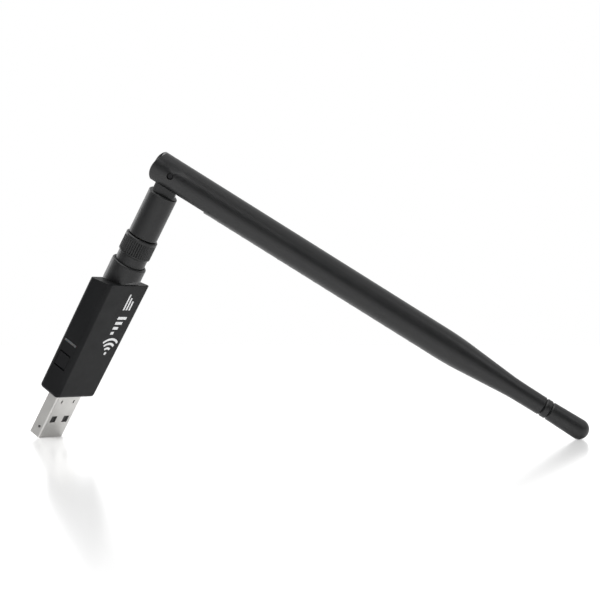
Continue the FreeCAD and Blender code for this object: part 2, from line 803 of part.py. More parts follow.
# ---- blade, in its own frame: z from the pin to the tip, x to the fold side
def blade_outline_outer():
    """Outer edges of the blade, from the hinge end to the cap's seam."""
    r0, r1 = blade_radius, blade_far_radius
    slope_out = (neck_radius - r1) / (taper_end - taper_start)
    blend = taper_blend / 2.0
    a = (r0, -blade_end_radius)
    b = (r1, taper_start - blend)
    c = (r1 + slope_out * blend, taper_start + blend)
    b_mid = (r1 + slope_out * blend / 4.0, taper_start)
    nb = neck_blend / 2.0
    d = (neck_radius - slope_out * nb, taper_end - nb)
    slope_neck = (neck_end_radius - neck_radius) / (groove_first - taper_end)
    e = (neck_radius + slope_neck * nb, taper_end + nb)
    d_mid = (neck_radius - (slope_out - slope_neck) * nb / 4.0, taper_end)
    edges = [line(a, b), arc(b, b_mid, c), line(c, d), arc(d, d_mid, e)]
    w, deep = groove_half_width, groove_depth
    r = neck_end_radius
    points = [e, (r, groove_first - w), (r - deep, groove_first), (r, groove_first + w),
              (r, groove_second - w), (r - deep, groove_second)]
    edges += [line(p, q) for p, q in zip(points[:-1], points[1:])]
    return edges, a, points[-1]


def blade_solid():
    edges, first, last = blade_outline_outer()
    edges.append(line(last, (0.0, groove_second)))
    edges.append(line((0.0, groove_second), (0.0, first[1])))
    edges.append(line((0.0, first[1]), first))
    return revolve_rz(edges)


def blade_hollow():
    """The bore inside the blade, down to the cap's spigot."""
    wall = blade_wall
    outline = [
        (0.0, cable_hall_start), (blade_radius - wall, cable_hall_start),
        (blade_far_radius - wall, taper_start - taper_blend),
        (neck_radius - wall, taper_end - neck_blend), (neck_radius - wall, groove_second + 1.0),
        (0.0, groove_second + 1.0),
    ]
    return revolve_rz(profile(outline))


def hinge_end_waste():
    """What is cut off the hinge end: beyond its round end, and the relieved underside."""
    reach = 2.0 * (blade_radius + blade_end_radius)
    beyond = box(-reach, reach, -reach, reach, -reach, 0.0)
    round_end = Part.makeCylinder(blade_end_radius, 2.0 * reach, V(-pin_offset, -reach, 0),
                                  V(0, 1, 0))
    low = blade_relief - pin_offset
    high = (reach - low) / blade_relief_slope
    underside = extrude_xz([(low, -reach), (reach, -reach), (reach, high), (low, 0.0)],
                           -reach, reach)
    return beyond.cut(round_end).fuse(underside)


def antenna_blade():
    """The hollow blade: slot for the tongue, pin holes, cable hall."""
    solid = blade_solid().cut(blade_hollow())
    solid = solid.cut(hinge_end_waste())
    back = -pin_offset - tongue_top_radius - slot_back_gap
    reach = 2.0 * blade_radius
    slot = box(back, reach, -slot_half, slot_half, -reach, slot_end)
    solid = solid.cut(slot)
    cable = rod(coax_hole_radius, slot_end - 1.0, cable_hall_start + 1.0)
    pin = Part.makeCylinder(pin_radius + slide_gap, 2.0 * reach, V(-pin_offset, -reach, 0),
                            V(0, 1, 0))
    return solid.cut(cable).cut(pin)


def tip_cap():
    """The domed cap beyond the second groove, with its spigot."""
    w, deep = groove_half_width, groove_depth
    r = neck_end_radius
    shoulder = (tip_radius, tip_centre)
    dome = arc(shoulder, (tip_radius * math.sqrt(0.5), tip_centre + tip_radius * math.sqrt(0.5)),
               (0.0, tip_end))
    spigot = neck_radius - blade_wall
    low = groove_second - cap_spigot
    points = [(0.0, low), (spigot, low), (spigot, groove_second), (r - deep, groove_second),
              (r, groove_second + w), shoulder]
    edges = [line(p, q) for p, q in zip(points[:-1], points[1:])]
    edges.append(dome)
    edges.append(line((0.0, tip_end), (0.0, low)))
    return revolve_rz(edges)


# ---- radiator, in the blade's frame --------------------------------------
def coax_upper():
    return rod(coax_radius, slot_end, sleeve_end - sleeve_wall)


def sleeve_radiator():
    """The quarter-wave tube folded back over the coax, closed at its far end."""
    inner = rod(sleeve_radius - sleeve_wall, sleeve_start - 1.0, sleeve_end - sleeve_wall)
    solid = rod(sleeve_radius, sleeve_start, sleeve_end).cut(inner)
    return solid.cut(rod(wire_radius, sleeve_end - 1.0, sleeve_end + 1.0))


def radiator_wire():
    """The two straight wires, below and above the phasing coil."""
    low = rod(wire_radius, sleeve_end - sleeve_wall, coil_start)
    high = rod(wire_radius, coil_end, taper_end - wire_to_taper_end)
    return Part.makeCompound([low, high])


def phasing_coil():
    """The wound turns between the wires, each end brought in to the middle."""
    low = coil_start + 0.5 * coil_pitch
    high = coil_end - 0.5 * coil_pitch
    path = Part.makeHelix(coil_pitch, high - low, coil_radius)
    path.translate(V(0, 0, low))
    start = V(coil_radius, 0, low)
    rise = coil_pitch / (2.0 * math.pi * coil_radius)
    section = Part.Wire([Part.makeCircle(wire_radius, start, V(0, 1, rise))])
    turns = path.makePipeShell([section], True, True)
    end_turn = 2.0 * math.pi * (high - low) / coil_pitch
    end = V(coil_radius * math.cos(end_turn), coil_radius * math.sin(end_turn), high)
    low_arm = Part.makeCylinder(wire_radius, coil_radius, V(0, 0, low), V(1, 0, 0))
    high_arm = Part.makeCylinder(wire_radius, coil_radius, V(0, 0, high), V(end.x, end.y, 0))
    stub_low = rod(wire_radius, coil_start, low)
    stub_high = rod(wire_radius, high, coil_end)
    solid = turns.fuse(low_arm).fuse(high_arm).fuse(stub_low).fuse(stub_high)
    for place in (start, end, V(0, 0, low), V(0, 0, high)):
        solid = solid.fuse(Part.makeSphere(wire_radius, place))
    return solid


def foam_spacers():
    """Foam rings that keep the wire in the middle of the blade."""
    outer = blade_far_radius - blade_wall - foam_gap
    return Part.makeCompound([tube(outer, wire_radius, z, z + foam_length) for z in foam_places])


# ---- placing ------------------------------------------------------------
def stick_placement():
    turn = FreeCAD.Rotation(V(0, 0, 1), turn_deg)
    lean = FreeCAD.Rotation(V(1, 0, 0), lean_deg)
    return FreeCAD.Placement(V(0, 0, 0), turn.multiply(lean))


def base_placement():
    """The swivel base turned to its fold direction."""
    swivel = FreeCAD.Placement(V(0, 0, 0), FreeCAD.Rotation(V(0, 0, 1), swivel_deg))
    return stick_placement().multiply(swivel)


def blade_placement(fold_deg):
    """The blade folded about the pin, towards the base's x direction."""
    fold = FreeCAD.Rotation(V(0, 1, 0), fold_deg)
    to_pin = FreeCAD.Placement(V(-pin_offset, 0, pin_height), fold)
    from_axis = FreeCAD.Placement(V(pin_offset, 0, 0), FreeCAD.Rotation())
    return base_placement().multiply(to_pin).multiply(from_axis)


def rest_fold():
    """The fold at which the tip is level with the plug's lower edge, by halving."""
    floor = -plug_height / 2.0 * math.sin(math.radians(lean_deg))
    low, high = 60.0, 120.0
    for _ in range(50):
        middle = (low + high) / 2.0
        tip = blade_placement(middle).multVec(V(0, 0, tip_centre))
        if tip.z - tip_radius > floor:
            low = middle
        else:
            high = middle
    return low


def save(name, shape, placement):
    placed = shape.copy()
    placed.Placement = placement.multiply(placed.Placement)
    placed.exportStep("parts/" + name + ".step")
    count = len(placed.Solids)
    print(name, "solids", count, "valid", placed.isValid(), "volume", round(placed.Volume, 3))


def main():
    os.makedirs("parts", exist_ok=True)
    print("rest fold", round(rest_fold(), 4))
    front, cover = case_halves()
    stick = {
        "front_shell": front,
        "back_cover": cover,
        "usb_shell": usb_shell(),
        "usb_insulator": usb_insulator(),
        "usb_contacts": usb_contacts(),
        "circuit_board": circuit_board(),
        "rf_shield": rf_shield(),
        "wifi_chip": wifi_chip(),
        "crystal": crystal(),
        "flash_chip": flash_chip(),
        "voltage_regulator": voltage_regulator(),
        "power_inductor": power_inductor(),
        "chip_capacitors": chip_capacitors(),
        "status_led": status_led(),
        "light_pipe": light_pipe(),
        "pairing_button": pairing_button(),
        "switch_plunger": switch_plunger(),
        "switch_body": switch_body(),
        "antenna_collar": antenna_collar(),
        "jack_body": jack_body(),
        "jack_insulator": jack_insulator(),
        "jack_pin": jack_pin(),
        "jack_washer": jack_washer(),
        "jack_nut": jack_nut(),
        "coupling_nut": coupling_nut(),
        "plug_core": plug_core(),
        "plug_insulator": plug_insulator(),
        "plug_socket": plug_socket(),
        "snap_ring": snap_ring(),
    }
    base = {
        "swivel_base": swivel_base(),
        "hinge_tongue": hinge_tongue(),
        "hinge_pin": hinge_pin(),
        "coax_lower": coax_lower(),
    }
    blade = {
        "antenna_blade": antenna_blade(),
        "tip_cap": tip_cap(),
        "coax_upper": coax_upper(),
        "sleeve_radiator": sleeve_radiator(),
        "radiator_wire": radiator_wire(),
        "phasing_coil": phasing_coil(),
        "foam_spacers": foam_spacers(),
    }
    for group, placement in ((stick, stick_placement()), (base, base_placement()),
                             (blade, blade_placement(rest_fold()))):
        for name, shape in group.items():
            save(name, shape, placement)


main()
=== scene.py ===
import json
import math

import bpy
import numpy as np
from bpy.props import FloatProperty, FloatVectorProperty, PointerProperty
from mathutils import Matrix, Vector


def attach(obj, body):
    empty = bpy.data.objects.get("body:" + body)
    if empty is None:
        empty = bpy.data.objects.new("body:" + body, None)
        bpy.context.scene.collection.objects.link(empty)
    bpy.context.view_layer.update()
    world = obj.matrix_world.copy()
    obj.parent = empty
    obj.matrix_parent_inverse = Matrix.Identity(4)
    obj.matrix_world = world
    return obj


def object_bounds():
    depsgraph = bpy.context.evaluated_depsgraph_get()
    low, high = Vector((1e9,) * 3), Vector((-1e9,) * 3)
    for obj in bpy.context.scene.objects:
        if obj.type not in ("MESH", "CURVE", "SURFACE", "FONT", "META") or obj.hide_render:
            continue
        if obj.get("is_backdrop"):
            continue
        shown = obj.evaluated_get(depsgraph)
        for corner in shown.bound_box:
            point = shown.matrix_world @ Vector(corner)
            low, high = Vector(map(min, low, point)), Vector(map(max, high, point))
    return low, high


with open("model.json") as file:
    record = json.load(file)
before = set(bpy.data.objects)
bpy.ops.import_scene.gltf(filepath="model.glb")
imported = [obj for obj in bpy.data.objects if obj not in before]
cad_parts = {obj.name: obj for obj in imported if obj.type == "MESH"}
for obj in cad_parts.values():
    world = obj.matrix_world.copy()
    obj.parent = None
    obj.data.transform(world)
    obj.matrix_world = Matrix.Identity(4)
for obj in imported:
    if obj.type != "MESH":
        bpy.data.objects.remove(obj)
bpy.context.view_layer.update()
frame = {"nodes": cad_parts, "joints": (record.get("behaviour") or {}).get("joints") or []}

bl_info = {
    "name": "USB wireless adapter looks",
    "version": (1, 0, 0),
    "blender": (4, 5, 0),
    "location": "View3D > Sidebar > Adapter",
    "description": "Finishes, printed mark and studio stage for a USB wireless adapter",
    "category": "Object",
}

MM = 0.001
CAMERA_PLACE = Vector((83.126, -718.716, 33.745)) * MM
FLOOR_REACH = 4.0

# Soft lights: name, place from the object's middle, size and power.
SOFTBOXES = (
    ("overhead_softbox", (-0.1, -0.15, 0.8), (0.9, 0.7), 5.0),
    ("left_softbox", (-0.6, 0.5, 0.4), (0.4, 0.7), 2.0),
    ("right_softbox", (0.75, -0.35, 0.45), (0.3, 0.6), 1.0),
    ("front_softbox", (-0.1, -0.8, 0.62), (0.9, 0.3), 4.6),
)

# The printed mark's parts, counted in stroke widths or in the mark's height.
WAVE_ANGLES = (math.radians(48.0), math.radians(132.0))
FIRST_WAVE, WAVE_STEP = 2.4, 2.1
FIRST_BAR, BAR_STEP = 9.4, 2.3
FIRST_LINE = 10.6

JOINTS = {joint["name"]: joint for joint in frame["joints"]}


def joint_axis(name):
    return Vector(JOINTS[name]["axis"]).normalized()


# The stick's own directions: across the wide face, through the thickness, and
# along the stick towards the antenna.
LONG = joint_axis("base_swivel")
WIDE = joint_axis("button_press")
WIDE = (WIDE - LONG * WIDE.dot(LONG)).normalized()
THICK = LONG.cross(WIDE)
STICK = Matrix((WIDE, THICK, LONG)).transposed()

# The blade's own directions: towards the slot's open side, along the hinge pin,
# and along the blade to its tip.
PIN_AXIS = joint_axis("antenna_fold")
PIN_PLACE = Vector(JOINTS["antenna_fold"]["pos_m"])
REST_FOLD = -math.radians(JOINTS["antenna_fold"]["range_deg"][0])
BLADE_LONG = (Matrix.Rotation(REST_FOLD, 3, PIN_AXIS) @ LONG).normalized()
BLADE = Matrix((PIN_AXIS.cross(BLADE_LONG), PIN_AXIS, BLADE_LONG)).transposed()


# ---- settings -----------------------------------------------------------
def colour_property(name, description, default):
    return FloatVectorProperty(name=name, description=description, default=default,
                               size=3, min=0.0, max=1.0, subtype="COLOR")


def factor_property(name, description, default):
    return FloatProperty(name=name, description=description, default=default,
                         min=0.0, max=1.0, subtype="FACTOR")


def length_property(name, description, default):
    return FloatProperty(name=name, description=description, default=default,
                         subtype="DISTANCE", unit="LENGTH", precision=5)


class AdapterFinish(bpy.types.PropertyGroup):
    case_colour: colour_property("Case", "Colour of the moulded case", (0.0075, 0.0078, 0.0083))
    case_roughness: factor_property("Case roughness", "Roughness of the moulded case", 0.46)
    antenna_colour: colour_property("Antenna", "Colour of the moulded antenna",
                                    (0.0058, 0.006, 0.0064))
    antenna_roughness: factor_property("Antenna roughness", "Roughness of the antenna", 0.38)
    case_sheen: factor_property("Case sheen", "Strength of the case's surface reflection", 0.09)
    stem_sheen: factor_property("Stem sheen", "Strength of the stem's surface reflection",
                                0.34)
    blade_sheen: factor_property("Blade sheen", "Strength of the blade's surface reflection", 0.38)
    plug_colour: colour_property("Plug", "Colour of the plated plug shell", (0.50, 0.493, 0.478))
    gold_colour: colour_property("Gold", "Colour of the gold plating", (0.86, 0.62, 0.27))
    board_colour: colour_property("Board", "Colour of the board's lacquer", (0.012, 0.09, 0.035))


class AdapterMark(bpy.types.PropertyGroup):
    colour: colour_property("Ink", "Colour of the printed mark", (0.70, 0.705, 0.71))
    start: length_property("Start", "Distance from the plug's end to the mark", 0.0335)
    across: length_property("Across", "Distance of the mark's middle from the stick's axis", 0.0039)
    height: length_property("Height", "Height of the mark", 0.0045)
    stroke: length_property("Stroke", "Width of the printed lines", 0.00082)
    face: length_property("Face", "Distance of the wide face from the stick's axis", 0.00425)
    ink: length_property("Ink thickness", "Thickness of the ink", 0.000018)


class AdapterStage(bpy.types.PropertyGroup):
    floor_colour: colour_property("Floor", "Colour of the floor", (0.97, 0.97, 0.97))
    floor_roughness: factor_property("Floor roughness", "Roughness of the floor", 0.12)
    floor_glow: FloatProperty(name="Floor glow", description="Light the pale floor gives off",
                              default=0.11, min=0.0, max=2.0)
    floor_far_glow: FloatProperty(name="Far floor glow", default=0.24, min=0.0, max=2.0,
                                  description="Light the floor gives off well behind the object")
    floor_near: FloatProperty(name="Floor near edge", subtype="DISTANCE", unit="LENGTH",
                              description="Place of the floor's edge towards the camera",
                              default=-0.42)
    lens: FloatProperty(name="Lens", description="Focal length of the camera in millimetres",
                        default=131.67, min=20.0, max=400.0)
    pitch: FloatProperty(name="Pitch", description="Upward tilt of the camera",
                         default=math.radians(0.787), subtype="ANGLE")


# ---- materials ----------------------------------------------------------
def turned_coordinates(tree, turn, centre, stretch):
    """Object coordinates seen in a piece's own directions."""
    nodes, links = tree.nodes, tree.links
    coordinates = nodes.new("ShaderNodeTexCoord")
    mapping = nodes.new("ShaderNodeMapping")
    mapping.vector_type = "TEXTURE"
    mapping.inputs["Location"].default_value = centre
    mapping.inputs["Rotation"].default_value = turn.to_euler("XYZ")
    mapping.inputs["Scale"].default_value = stretch
    links.new(coordinates.outputs["Object"], mapping.inputs["Vector"])
    return mapping.outputs["Vector"]


def noise(tree, vector, per_metre, detail=4.0):
    node = tree.nodes.new("ShaderNodeTexNoise")
    node.inputs["Scale"].default_value = per_metre
    node.inputs["Detail"].default_value = detail
    tree.links.new(vector, node.inputs["Vector"])
    return node.outputs["Fac"]


def spread(tree, value, low, high):
    """Maps a noise value onto a range."""
    node = tree.nodes.new("ShaderNodeMapRange")
    node.inputs["From Min"].default_value = 0.3
    node.inputs["From Max"].default_value = 0.7
    node.inputs["To Min"].default_value = low
    node.inputs["To Max"].default_value = high
    tree.links.new(value, node.inputs["Value"])
    return node.outputs["Result"]


def blend_colours(tree, value, first, second):
    node = tree.nodes.new("ShaderNodeMix")
    node.data_type = "RGBA"
    node.inputs["A"].default_value = (*first, 1.0)
    node.inputs["B"].default_value = (*second, 1.0)
    tree.links.new(value, node.inputs["Factor"])
    return node.outputs["Result"]


def add_bump(tree, shader, value, height, strength):
    node = tree.nodes.new("ShaderNodeBump")
    node.inputs["Distance"].default_value = height
    node.inputs["Strength"].default_value = strength
    tree.links.new(value, node.inputs["Height"])
    tree.links.new(node.outputs["Normal"], shader.inputs["Normal"])


def new_material(name):
    material = bpy.data.materials.new(name)
    material.use_nodes = True
    tree = material.node_tree
    return material, tree, tree.nodes["Principled BSDF"]


def moulded_plastic(name, colour, roughness, turn=STICK, centre=(0, 0, 0), grain=5200.0,
                    grain_height=0.000012, mottle=0.16, sheen=0.5):
    """Satin moulded plastic: a fine spark-eroded grain, faint clouds in tone and gloss."""
    material, tree, shader = new_material(name)
    vector = turned_coordinates(tree, turn, centre, (1.0, 1.0, 1.0))
    clouds = noise(tree, vector, 120.0)
    darker = [c * (1.0 - mottle) for c in colour]
    lighter = [c * (1.0 + mottle) for c in colour]
    tone = blend_colours(tree, spread(tree, clouds, 0.0, 1.0), darker, lighter)
    tree.links.new(tone, shader.inputs["Base Color"])
    gloss = spread(tree, noise(tree, vector, 260.0), roughness - 0.035, roughness + 0.035)
    tree.links.new(gloss, shader.inputs["Roughness"])
    shader.inputs["Specular IOR Level"].default_value = sheen
    add_bump(tree, shader, noise(tree, vector, grain, 2.0), grain_height, 0.35)
    return material


def plated_metal(name, colour, roughness, turn=STICK, centre=(0, 0, 0), stretch=(1.0, 1.0, 6.0)):
    """Plated metal with fine drawing lines along the part and faint handling clouds."""
    material, tree, shader = new_material(name)
    shader.inputs["Metallic"].default_value = 1.0
    lines = turned_coordinates(tree, turn, centre, stretch)
    plain = turned_coordinates(tree, turn, centre, (1.0, 1.0, 1.0))
    clouds = spread(tree, noise(tree, plain, 180.0), 0.0, 1.0)
    tone = blend_colours(tree, clouds, [c * 0.90 for c in colour], colour)
    tree.links.new(tone, shader.inputs["Base Color"])
    gloss = spread(tree, noise(tree, lines, 2400.0), roughness - 0.05, roughness + 0.06)
    tree.links.new(gloss, shader.inputs["Roughness"])
    add_bump(tree, shader, noise(tree, lines, 3600.0, 3.0), 0.000004, 0.3)
    return material


def soft_polymer(name, colour, roughness, subsurface=0.0, cells=900.0, cell_height=0.00002):
    """Nylon, fluoropolymer, foam or cable jacket: matt, slightly uneven."""
    material, tree, shader = new_material(name)
    vector = turned_coordinates(tree, STICK, (0, 0, 0), (1.0, 1.0, 1.0))
    clouds = spread(tree, noise(tree, vector, 300.0), 0.0, 1.0)
    tone = blend_colours(tree, clouds, [c * 0.85 for c in colour], colour)
    tree.links.new(tone, shader.inputs["Base Color"])
    shader.inputs["Roughness"].default_value = roughness
    shader.inputs["Subsurface Weight"].default_value = subsurface
    add_bump(tree, shader, noise(tree, vector, cells, 3.0), cell_height, 0.4)
    return material


def board_lacquer(name, colour):
    """Board lacquer over copper: tracks show as slightly lighter straight-edged areas."""
    material, tree, shader = new_material(name)
    vector = turned_coordinates(tree, STICK, (0, 0, 0), (1.0, 8.0, 1.0))
    cells = tree.nodes.new("ShaderNodeTexVoronoi")
    cells.distance = "CHEBYCHEV"
    cells.inputs["Scale"].default_value = 480.0
    tree.links.new(vector, cells.inputs["Vector"])
    tracks = spread(tree, cells.outputs["Distance"], 0.0, 1.0)
    tone = blend_colours(tree, tracks, colour, [min(1.0, c * 2.1) for c in colour])
    tree.links.new(tone, shader.inputs["Base Color"])
    shader.inputs["Roughness"].default_value = 0.34
    shader.inputs["Coat Weight"].default_value = 0.3
    add_bump(tree, shader, tracks, 0.00001, 0.5)
    return material


def window_plastic(name):
    """The frosted light window: pale, slightly translucent, with soft clouds."""
    material, tree, shader = new_material(name)
    vector = turned_coordinates(tree, STICK, (0, 0, 0), (1.0, 1.0, 1.0))
    clouds = spread(tree, noise(tree, vector, 900.0), 0.0, 1.0)
    tone = blend_colours(tree, clouds, (0.055, 0.056, 0.058), (0.085, 0.086, 0.09))
    tree.links.new(tone, shader.inputs["Base Color"])
    shader.inputs["Roughness"].default_value = 0.3
    shader.inputs["Subsurface Weight"].default_value = 0.2
    shader.inputs["Subsurface Scale"].default_value = 0.0005
    return material


def chip_package(name, colour):
    """Moulded chip package: matt black with a fine sandy texture."""
    return moulded_plastic(name, colour, 0.55, grain=9000.0, grain_height=0.00001, mottle=0.25)


def printing_ink(name, colour):
    """Pad-printed ink: even, a little rough, with a hint of missing coverage."""
    material, tree, shader = new_material(name)
    vector = turned_coordinates(tree, STICK, (0, 0, 0), (1.0, 1.0, 1.0))
    cover = spread(tree, noise(tree, vector, 5200.0, 2.0), 0.0, 1.0)
    tone = blend_colours(tree, cover, [c * 0.86 for c in colour], colour)
    tree.links.new(tone, shader.inputs["Base Color"])
    shader.inputs["Roughness"].default_value = 0.5
    return material


def paint(node_names, material):
    """Gives carried-over CAD nodes a finish; their meshes stay as they are."""
    for name in node_names:
        mesh = frame["nodes"][name].data
        mesh.materials.clear()
        mesh.materials.append(material)


# ---- meshes -------------------------------------------------------------
def grid_faces(rows, columns, wrap_rows=False, wrap_columns=False):
    """Quads of a rows by columns grid of points, as one array of index fours."""
    r = np.arange(rows if wrap_rows else rows - 1)
    c = np.arange(columns if wrap_columns else columns - 1)
    i, j = (a.ravel() for a in np.meshgrid(r, c, indexing="ij"))
    i2, j2 = (i + 1) % rows, (j + 1) % columns
    return np.stack([i * columns + j, i2 * columns + j, i2 * columns + j2, i * columns + j2], 1)


def mesh_object(name, points, faces, material, body):
    mesh = bpy.data.meshes.new(name)
    mesh.from_pydata(points.tolist(), [], [list(map(int, f)) for f in faces])
    mesh.validate()
    mesh.update()
    mesh.materials.append(material)
    piece = bpy.data.objects.new(name, mesh)
    bpy.context.scene.collection.objects.link(piece)
    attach(piece, body)
    return piece


def in_stick(points):
    """Points in the stick's own directions, turned into the row's frame."""
    return points @ np.array(STICK).T


def inked_stroke(path, width, low, high, closed=False):
    """A flat stroke with a rectangular section carried along a path in the face's plane.

    Each point of the path is moved half the width to either side, square to the
    path's direction there, and given the two heights: four rails in all. The
    rails join into side walls, and an open path is closed by one face at each end.
    """
    if closed:
        ahead = np.roll(path, -1, 0) - np.roll(path, 1, 0)
    else:
        ahead = np.gradient(path, axis=0)
    ahead /= np.linalg.norm(ahead, axis=1, keepdims=True)
    side = np.stack([-ahead[:, 1], ahead[:, 0]], 1) * width / 2.0
    left, right = path + side, path - side
    heights = np.full(len(path), low), np.full(len(path), high)
    rails = np.stack([
        np.column_stack([left[:, 0], heights[0], left[:, 1]]),
        np.column_stack([left[:, 0], heights[1], left[:, 1]]),
        np.column_stack([right[:, 0], heights[1], right[:, 1]]),
        np.column_stack([right[:, 0], heights[0], right[:, 1]]),
    ], 1)
    count = len(path)
    faces = grid_faces(count, 4, wrap_rows=closed, wrap_columns=True).tolist()
    if not closed:
        last = 4 * (count - 1)
        faces += [[0, 1, 2, 3], [last + 3, last + 2, last + 1, last]]
    return rails.reshape(-1, 3), faces


def arc_path(centre, radius, start, stop, count):
    """Points at even angles round a centre."""
    angle = np.linspace(start, stop, count)
    return np.stack([centre[0] + radius * np.cos(angle), centre[1] + radius * np.sin(angle)], 1)


def join_shapes(shapes):
    """Stacks several point and face sets into one."""
    points, faces, offset = [], [], 0
    for shape_points, shape_faces in shapes:
        points.append(shape_points)
        faces += [[index + offset for index in face] for face in shape_faces]
        offset += len(shape_points)
    return np.concatenate(points), faces


def signal_mark_strokes(mark):
    """Strokes of the generic signal mark: a dot, three waves, four bars and three lines."""
    low = -mark.face - mark.ink
    high = -mark.face + mark.ink
    stroke = mark.stroke
    foot = np.array([mark.across, mark.start])
    dot = arc_path(foot, stroke * 0.35, 0.0, 2.0 * math.pi, 25)[:-1]
    shapes = [inked_stroke(dot, stroke * 0.7, low, high, closed=True)]
    for index in range(3):
        radius = stroke * (FIRST_WAVE + WAVE_STEP * index)
        wave = arc_path(foot, radius, *WAVE_ANGLES, 33)
        shapes.append(inked_stroke(wave, stroke, low, high))
    first = mark.start + stroke * FIRST_BAR
    for index in range(4):
        reach = mark.height * (0.34 + 0.22 * index)
        z = first + stroke * BAR_STEP * index
        left = mark.across - mark.height / 2.0
        bar = np.array([[left, z], [left + reach / 2.0, z], [left + reach, z]])
        shapes.append(inked_stroke(bar, stroke * 1.25, low, high))
    tail = first + stroke * FIRST_LINE
    for index in range(3):
        x = mark.across - mark.height * 0.32 + mark.height * 0.32 * index
        run = mark.height * (1.3 - 0.28 * index)
        line = np.stack([np.full(5, x), np.linspace(tail, tail + run, 5)], 1)
        shapes.append(inked_stroke(line, stroke * 0.9, low, high))
    return shapes


# ---- operators ----------------------------------------------------------
class ADAPTER_OT_finish_case(bpy.types.Operator):
    """Gives the case, the key and the light window their finishes"""
    bl_idname = "adapter.finish_case"
    bl_label = "Finish the case"

    def execute(self, context):
        look = context.scene.adapter_finish
        case = moulded_plastic("case_satin_plastic", tuple(look.case_colour), look.case_roughness,
                               sheen=look.case_sheen)
        paint(["front_shell", "back_cover", "pairing_button"], case)
        paint(["light_pipe"], window_plastic("frosted_window"))
        return {"FINISHED"}


class ADAPTER_OT_finish_plug(bpy.types.Operator):
    """Gives the USB plug's shell, insulator and contacts their finishes"""
    bl_idname = "adapter.finish_plug"
    bl_label = "Finish the plug"

    def execute(self, context):
        look = context.scene.adapter_finish
        paint(["usb_shell"], plated_metal("plug_nickel", tuple(look.plug_colour), 0.34))
        paint(["usb_insulator"], soft_polymer("plug_black_nylon", (0.003, 0.003, 0.0032), 0.62))
        paint(["usb_contacts"], plated_metal("contact_gold", tuple(look.gold_colour), 0.18))
        return {"FINISHED"}


class ADAPTER_OT_finish_board(bpy.types.Operator):
    """Gives the board and what is soldered to it their finishes"""
    bl_idname = "adapter.finish_board"
    bl_label = "Finish the board"

    def execute(self, context):
        look = context.scene.adapter_finish
        paint(["circuit_board"], board_lacquer("board_lacquer", tuple(look.board_colour)))
        tin = plated_metal("tinned_steel", (0.72, 0.72, 0.71), 0.32)
        paint(["rf_shield", "crystal", "switch_body"], tin)
        package = chip_package("chip_package", (0.018, 0.018, 0.02))
        paint(["wifi_chip", "flash_chip", "voltage_regulator"], package)
        paint(["power_inductor"], chip_package("ferrite", (0.06, 0.055, 0.055)))
        paint(["chip_capacitors"], soft_polymer("capacitor_ceramic", (0.38, 0.25, 0.14), 0.4))
        paint(["status_led"], soft_polymer("lamp_resin", (0.75, 0.74, 0.60), 0.2, 0.3))
        paint(["switch_plunger"], soft_polymer("plunger_nylon", (0.75, 0.75, 0.72), 0.4))
        return {"FINISHED"}


class ADAPTER_OT_finish_jack(bpy.types.Operator):
    """Gives the antenna jack and the connector that screws on to it their finishes"""
    bl_idname = "adapter.finish_jack"
    bl_label = "Finish the jack"

    def execute(self, context):
        look = context.scene.adapter_finish
        gold = plated_metal("jack_gold", tuple(look.gold_colour), 0.22)
        paint(["jack_body", "jack_pin", "jack_nut", "jack_washer", "plug_core", "plug_socket"],
              gold)
        paint(["jack_insulator", "plug_insulator"],
              soft_polymer("fluoropolymer", (0.78, 0.78, 0.75), 0.42, 0.15))
        paint(["snap_ring"], plated_metal("spring_steel", (0.55, 0.55, 0.55), 0.3))
        return {"FINISHED"}


class ADAPTER_OT_finish_antenna(bpy.types.Operator):
    """Gives the antenna's mouldings, hinge and inner parts their finishes"""
    bl_idname = "adapter.finish_antenna"
    bl_label = "Finish the antenna"

    def execute(self, context):
        look = context.scene.adapter_finish
        colour, roughness = tuple(look.antenna_colour), look.antenna_roughness
        stem = moulded_plastic("antenna_stem_plastic", colour, roughness + 0.03,
                               sheen=look.stem_sheen)
        blade = moulded_plastic("antenna_blade_plastic", colour, roughness, BLADE, PIN_PLACE,
                                sheen=look.blade_sheen)
        paint(["antenna_collar", "coupling_nut", "swivel_base", "hinge_tongue"], stem)
        paint(["antenna_blade", "tip_cap"], blade)
        paint(["hinge_pin"], plated_metal("pin_steel", (0.02, 0.02, 0.021), 0.42))
        paint(["coax_lower", "coax_upper"],
              soft_polymer("cable_jacket", (0.035, 0.025, 0.02), 0.38))
        paint(["sleeve_radiator", "radiator_wire", "phasing_coil"],
              plated_metal("bare_copper", (0.78, 0.36, 0.20), 0.3, BLADE, PIN_PLACE))
        paint(["foam_spacers"],
              soft_polymer("grey_foam", (0.10, 0.10, 0.11), 0.9, 0.0, 2600.0, 0.00012))
        return {"FINISHED"}


class ADAPTER_OT_print_mark(bpy.types.Operator):
    """Prints the generic signal mark on the wide face"""
    bl_idname = "adapter.print_mark"
    bl_label = "Print the mark"

    def execute(self, context):
        mark = context.scene.adapter_mark
        points, faces = join_shapes(signal_mark_strokes(mark))
        ink = printing_ink("mark_ink", tuple(mark.colour))
        mesh_object("signal_mark", in_stick(points), faces, ink, "dongle")
        return {"FINISHED"}


